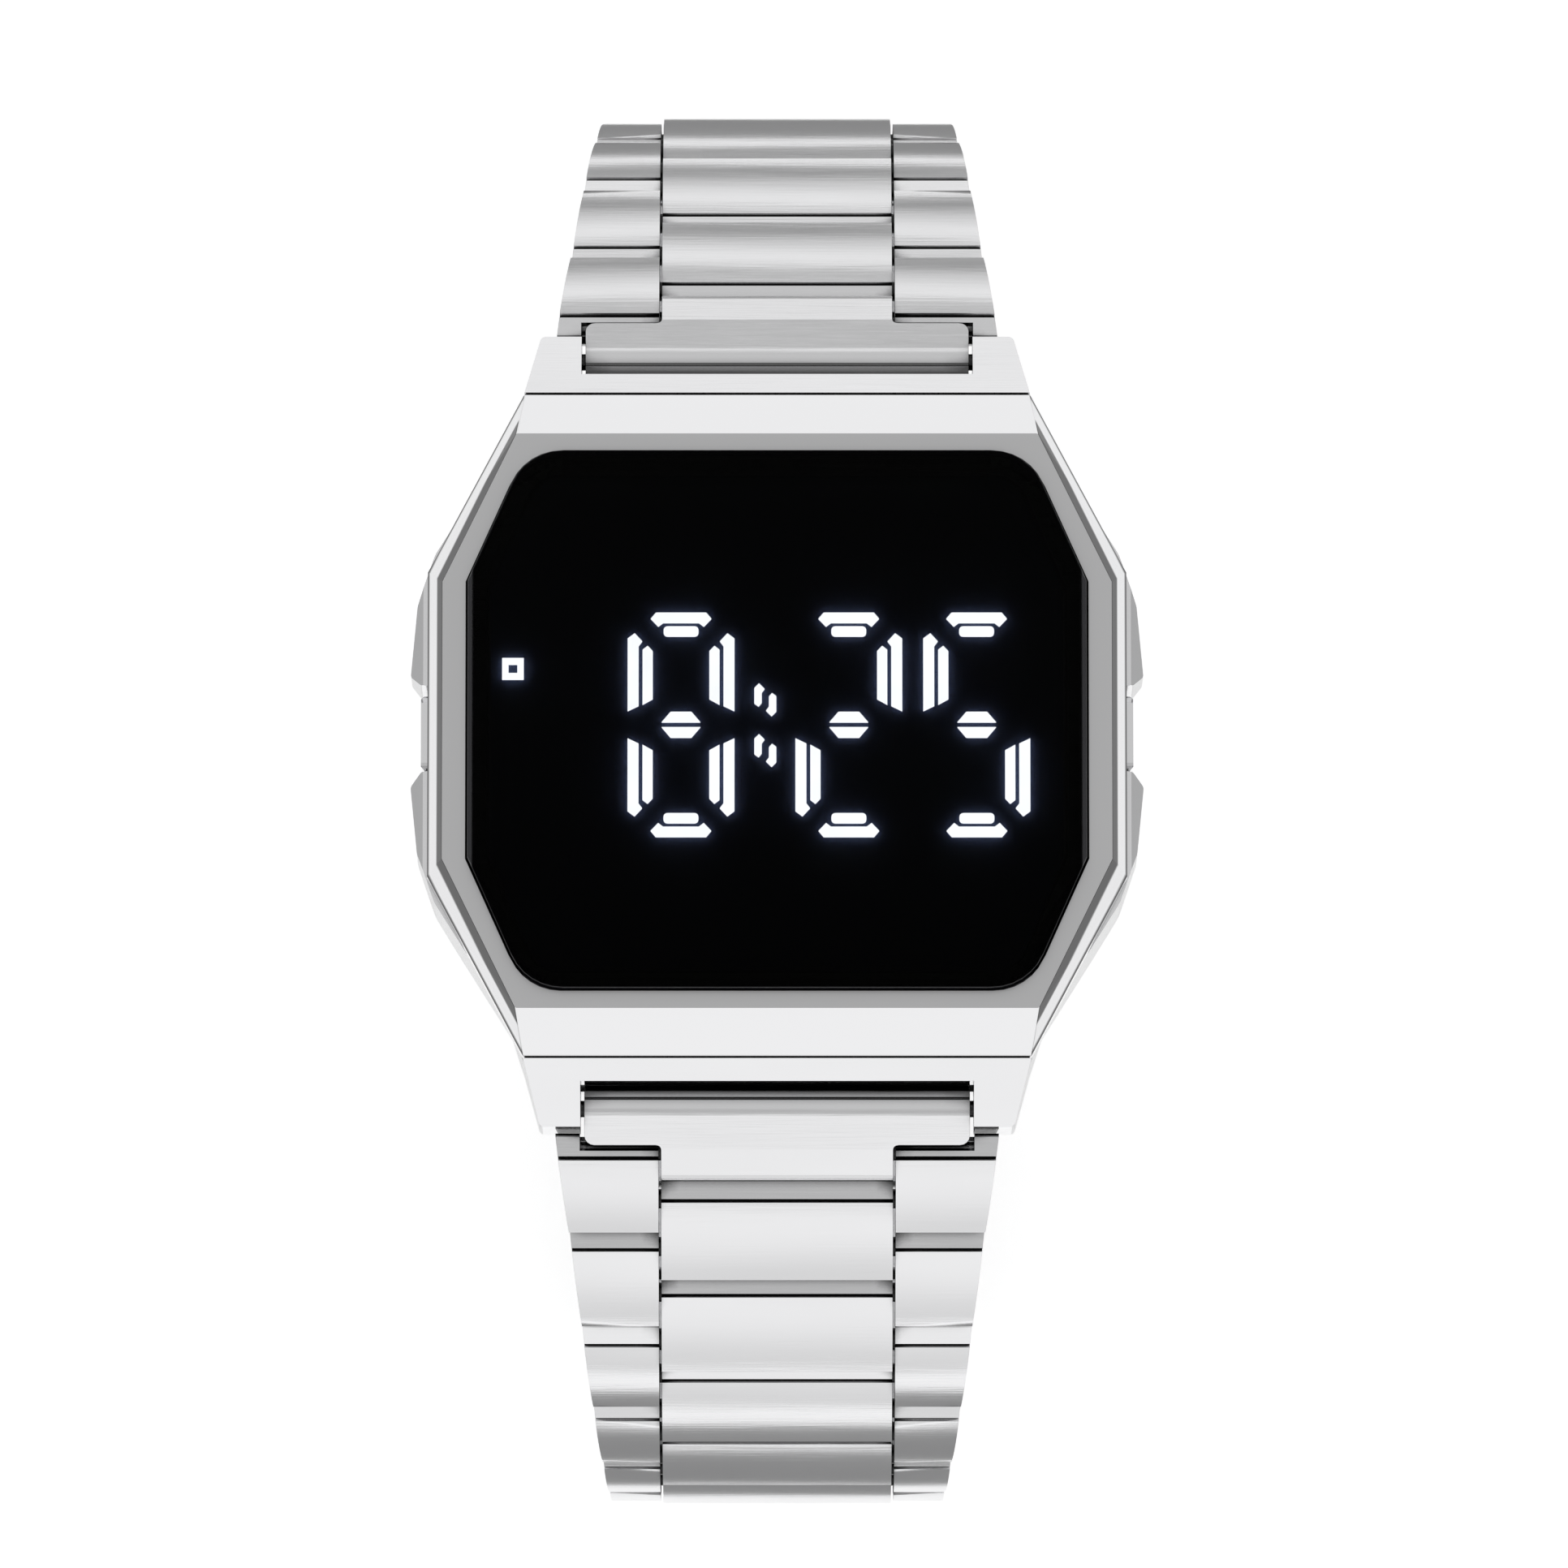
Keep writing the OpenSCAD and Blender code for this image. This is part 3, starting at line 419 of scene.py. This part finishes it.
def make_floor():
    """Pale board under the watch, shown a little brighter to the eye and in reflections."""
    low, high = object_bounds()
    mat, out = new_material("floor")
    paint = node(mat, "ShaderNodeBsdfDiffuse", {"Color": solid((FLOOR_WHITE,) * 3)})
    rays = node(mat, "ShaderNodeLightPath").outputs
    seen = compute(mat, "MAXIMUM", rays["Is Camera Ray"], rays["Is Glossy Ray"])
    seen = compute(mat, "MAXIMUM", seen, rays["Is Transmission Ray"])
    glow = node(mat, "ShaderNodeEmission", {"Strength": compute(mat, "MULTIPLY", seen, FLOOR_GLOW)})
    both = node(mat, "ShaderNodeAddShader", {0: paint.outputs["BSDF"], 1: glow.outputs["Emission"]})
    link(mat, both.outputs["Shader"], out.inputs["Surface"])
    floor = add_board("floor", FLOOR_SIZE, (0, 0, low.z - FLOOR_GAP), mat)
    floor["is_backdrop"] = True


def make_cards():
    """Grey cards over the floor, seen in reflections only: they give the steel its darks."""
    low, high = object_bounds()
    mat, out = new_material("grey_card")
    paint = node(mat, "ShaderNodeBsdfDiffuse", {"Color": solid((CARD_GREY,) * 3)})
    link(mat, paint.outputs["BSDF"], out.inputs["Surface"])
    for name, start, end in CARDS:
        card = add_board(name, (CARD_WIDTH, end - start), (0, (start + end) / 2, low.z - CARD_GAP), mat)
        card.visible_camera = False
        card.visible_diffuse = False
        card.visible_shadow = False
        card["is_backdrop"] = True


def make_world():
    """A light tent: brightness by the angle from overhead, towards 12 o'clock and away from it."""
    world = bpy.data.worlds.new("studio")
    bpy.context.scene.world = world
    out = empty_tree(world, "ShaderNodeOutputWorld")
    direction = coordinates(world, "Generated")
    angle = compute(world, "ARCTAN2", axis(world, direction, "Y"), axis(world, direction, "Z"))
    turn = ramp(world, angle, start=-math.pi, end=math.pi)
    tent = levels(world, turn, [(degrees / 360 + 0.5, level) for degrees, level in TENT])
    studio = node(world, "ShaderNodeBackground", {"Color": tent})
    link(world, studio.outputs["Background"], out.inputs["Surface"])


def make_camera():
    """Camera at the photo's angle, framed so that the glass sits where the photo shows it."""
    data = bpy.data.cameras.new("camera")
    camera = bpy.data.objects.new("camera", data)
    bpy.context.collection.objects.link(camera)
    low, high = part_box("glass")
    target = Vector((0, 0, high.z))
    elevation = math.radians(ELEVATION_DEG)
    back = Vector((0, -math.cos(elevation), math.sin(elevation)))
    camera.location = target + back * DISTANCE
    camera.rotation_mode = "QUATERNION"
    camera.rotation_quaternion = (-back).to_track_quat("-Z", "Y")
    data.sensor_width = SENSOR_MM
    data.lens = SENSOR_MM * DISTANCE / (IMAGE_PX / PX_PER_MM * MM)
    data.shift_x = (IMAGE_PX / 2 - GLASS_PX[0]) / IMAGE_PX
    data.shift_y = (GLASS_PX[1] - IMAGE_PX / 2) / IMAGE_PX
    data.clip_start = CLIP_NEAR
    data.clip_end = CLIP_FAR
    bpy.context.scene.camera = camera


dress_nodes()
make_floor()
make_cards()
make_world()
make_camera()
bpy.context.scene.view_settings.view_transform = "Standard"
